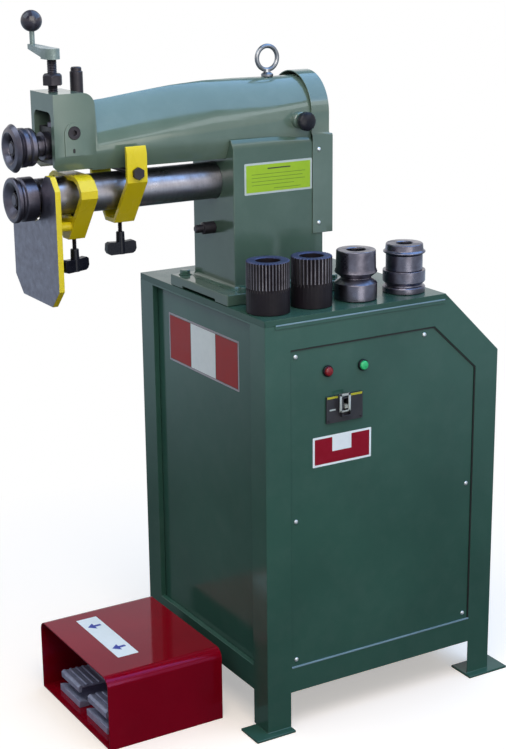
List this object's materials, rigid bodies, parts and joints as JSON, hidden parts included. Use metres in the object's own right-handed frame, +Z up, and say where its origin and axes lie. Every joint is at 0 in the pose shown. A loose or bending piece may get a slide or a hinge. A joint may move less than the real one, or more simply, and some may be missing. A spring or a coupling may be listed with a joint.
{
  "type": "motor driven rotary sheet metal crimping and beading machine on a cabinet, with a two pedal foot switch",
  "caption": "Floor standing motor driven sheet metal crimper: roll head on a cabinet, crank fed upper roll, gauge plate, spare rolls and a pedal box.",
  "frame": {"origin": "middle of the overall outline, on the floor", "axes": "+X to the operator's right, the control panel side; +Y from the operator to the rear; +Z up"},
  "size_m": [0.544, 0.981, 1.4163],
  "materials": {
    "cabinet_green": "glossy dark green enamel",
    "machine_green": "glossy grey green enamel",
    "yellow_paint": "glossy yellow enamel",
    "red_paint": "glossy deep red enamel",
    "steel": "turned and ground steel",
    "black_oxide": "black oxide steel",
    "cast_grey": "as cast",
    "black_plastic": "moulded, glossy",
    "grey_casting": "satin casting",
    "red_lens": "glossy",
    "green_lens": "glossy",
    "bronze": "turned bearing bronze",
    "motor_grey": "satin enamel",
    "pedal_grey": "satin grey coat on castings"
  },
  "bodies": {
    "machine_frame": {"cabinet_shell": "cabinet_green", "cabinet_top": "cabinet_green", "front_panel": "cabinet_green", "control_panel": "cabinet_green", "left_panel": "cabinet_green", "rear_panel": "cabinet_green", "motor_shelf": "cabinet_green", "gear_motor": "motor_grey", "drive_chain": "black_oxide", "machine_base": "machine_green", "column": "machine_green", "upper_arm": "machine_green", "lower_tube": "steel", "gear_cover": "machine_green", "side_plug": "black_oxide", "spring_post": "black_oxide", "lock_stud": "black_oxide", "eye_bolt": "grey_casting", "red_bezel": "black_plastic", "green_bezel": "black_plastic", "power_switch": "black_plastic", "pedal_guard": "red_paint", "forward_pedal_base": "cast_grey", "reverse_pedal_base": "cast_grey"},
    "lower_spindle": {"lower_shaft": "steel", "lower_roll": "steel", "lower_roll_nut": "black_oxide", "lower_gear": "steel", "driven_sprocket": "steel"},
    "upper_carriage": {"bearing_block": "cast_grey", "rear_bearing": "bronze"},
    "upper_spindle": {"upper_shaft": "steel", "upper_roll": "steel", "upper_roll_nut": "black_oxide", "upper_gear": "steel"},
    "motor_output": {"motor_sprocket": "steel"},
    "screw_pad": {"pressure_pad": "steel"},
    "crank": {"crank_screw": "black_oxide", "stop_collar": "black_oxide", "crank_arm": "grey_casting", "ball_knob": "black_plastic"},
    "gauge": {"gauge_plate": "steel", "gauge_yoke": "yellow_paint"},
    "gauge_clamp": {"gauge_knob": "black_plastic"},
    "stop_yoke": {"rear_yoke": "yellow_paint", "yoke_cross_bolt": "steel"},
    "stop_clamp": {"yoke_knob": "black_plastic"},
    "align_screw": {"align_knob": "black_plastic"},
    "stop_button": {"red_button": "red_lens"},
    "start_button": {"green_button": "green_lens"},
    "power_lever": {"switch_lever": "grey_casting"},
    "forward_treadle": {"forward_pedal": "pedal_grey"},
    "reverse_treadle": {"reverse_pedal": "pedal_grey"},
    "spare_crimp_front": {"crimp_roll_front": "black_oxide"},
    "spare_crimp_rear": {"crimp_roll_rear": "black_oxide"},
    "spare_bead_lower": {"bead_roll_lower": "steel"},
    "spare_bead_upper": {"bead_roll_upper": "steel"},
    "spare_ring_lower": {"ring_roll_lower": "steel"},
    "spare_ring_upper": {"ring_roll_upper": "steel"}
  },
  "joints": [
    {"name": "lower_drive", "type": "hinge", "parent": "machine_frame", "child": "lower_spindle", "pos_m": [0, -0.1055, 1.0826], "axis": [0, 1, 0], "continuous": true},
    {"name": "carriage_tilt", "type": "hinge", "parent": "machine_frame", "child": "upper_carriage", "pos_m": [0, 0.1185, 1.1771], "axis": [1, 0, 0], "range_deg": [-0.89, 0.67], "stiffness_Nm_per_rad": 300, "springref_deg": -5.9},
    {"name": "upper_drive", "type": "hinge", "parent": "upper_carriage", "child": "upper_spindle", "pos_m": [0, -0.1055, 1.1771], "axis": [0, 1, 0], "continuous": true},
    {"name": "motor_drive", "type": "hinge", "parent": "machine_frame", "child": "motor_output", "pos_m": [0, 0.0145, 0.4163], "axis": [0, 1, 0], "continuous": true},
    {"name": "screw_feed", "type": "slide", "parent": "machine_frame", "child": "screw_pad", "axis": [0, 0, -1], "range_m": [-0.008, 0.006]},
    {"name": "crank_turn", "type": "hinge", "parent": "screw_pad", "child": "crank", "pos_m": [0, -0.398, 1.346], "axis": [0, 0, -1], "range_deg": [-720.01, 540.01]},
    {"name": "gauge_slide", "type": "slide", "parent": "machine_frame", "child": "gauge", "axis": [0, 1, 0], "range_m": [0, 0.04]},
    {"name": "gauge_knob_turn", "type": "hinge", "parent": "gauge", "child": "gauge_clamp", "pos_m": [0, -0.3685, 0.96], "axis": [0, 0, 1], "range_deg": [0, 180]},
    {"name": "yoke_slide", "type": "slide", "parent": "machine_frame", "child": "stop_yoke", "axis": [0, 1, 0], "range_m": [0, 0.12]},
    {"name": "yoke_knob_turn", "type": "hinge", "parent": "stop_yoke", "child": "stop_clamp", "pos_m": [0, -0.2723, 0.985], "axis": [0, 0, 1], "range_deg": [0, 180]},
    {"name": "align_turn", "type": "hinge", "parent": "machine_frame", "child": "align_screw", "pos_m": [0.084, 0.0855, 1.1955], "axis": [1, 0, 0], "range_deg": [-180, 180]},
    {"name": "stop_press", "type": "slide", "parent": "machine_frame", "child": "stop_button", "axis": [-1, 0, 0], "range_m": [0, 0.004], "stiffness_N_per_m": 600, "springref_m": -0.002},
    {"name": "start_press", "type": "slide", "parent": "machine_frame", "child": "start_button", "axis": [-1, 0, 0], "range_m": [0, 0.004], "stiffness_N_per_m": 600, "springref_m": -0.002},
    {"name": "power_lever_turn", "type": "hinge", "parent": "machine_frame", "child": "power_lever", "pos_m": [0.244, 0.0738, 0.663], "axis": [0, 1, 0], "range_deg": [-20, 20]},
    {"name": "forward_press", "type": "hinge", "parent": "machine_frame", "child": "forward_treadle", "pos_m": [-0.0945, -0.23, 0.0373], "axis": [1, 0, 0], "range_deg": [0, 5.5], "stiffness_Nm_per_rad": 6, "springref_deg": -17.19},
    {"name": "reverse_press", "type": "hinge", "parent": "machine_frame", "child": "reverse_treadle", "pos_m": [0.0365, -0.23, 0.0373], "axis": [1, 0, 0], "range_deg": [0, 5.5], "stiffness_Nm_per_rad": 6, "springref_deg": -17.19},
    {"name": "crimp_front_lift", "type": "slide", "parent": "machine_frame", "child": "spare_crimp_front", "axis": [0, 0, 1], "range_m": [0, 0.07]},
    {"name": "crimp_rear_lift", "type": "slide", "parent": "machine_frame", "child": "spare_crimp_rear", "axis": [0, 0, 1], "range_m": [0, 0.07]},
    {"name": "bead_lower_lift", "type": "slide", "parent": "machine_frame", "child": "spare_bead_lower", "axis": [0, 0, 1], "range_m": [0, 0.07]},
    {"name": "bead_upper_lift", "type": "slide", "parent": "spare_bead_lower", "child": "spare_bead_upper", "axis": [0, 0, 1], "range_m": [0, 0.03]},
    {"name": "ring_lower_lift", "type": "slide", "parent": "machine_frame", "child": "spare_ring_lower", "axis": [0, 0, 1], "range_m": [0, 0.07]},
    {"name": "ring_upper_lift", "type": "slide", "parent": "spare_ring_lower", "child": "spare_ring_upper", "axis": [0, 0, 1], "range_m": [0, 0.03]}
  ],
  "couplings": [
    {"joint": "upper_drive", "follows": "lower_drive", "ratio": -1},
    {"joint": "motor_drive", "follows": "lower_drive", "ratio": 1.3077},
    {"joint": "crank_turn", "follows": "screw_feed", "rad_per_m": 1570.8},
    {"joint": "carriage_tilt", "follows": "screw_feed", "rad_per_m": 1.9361}
  ]
}
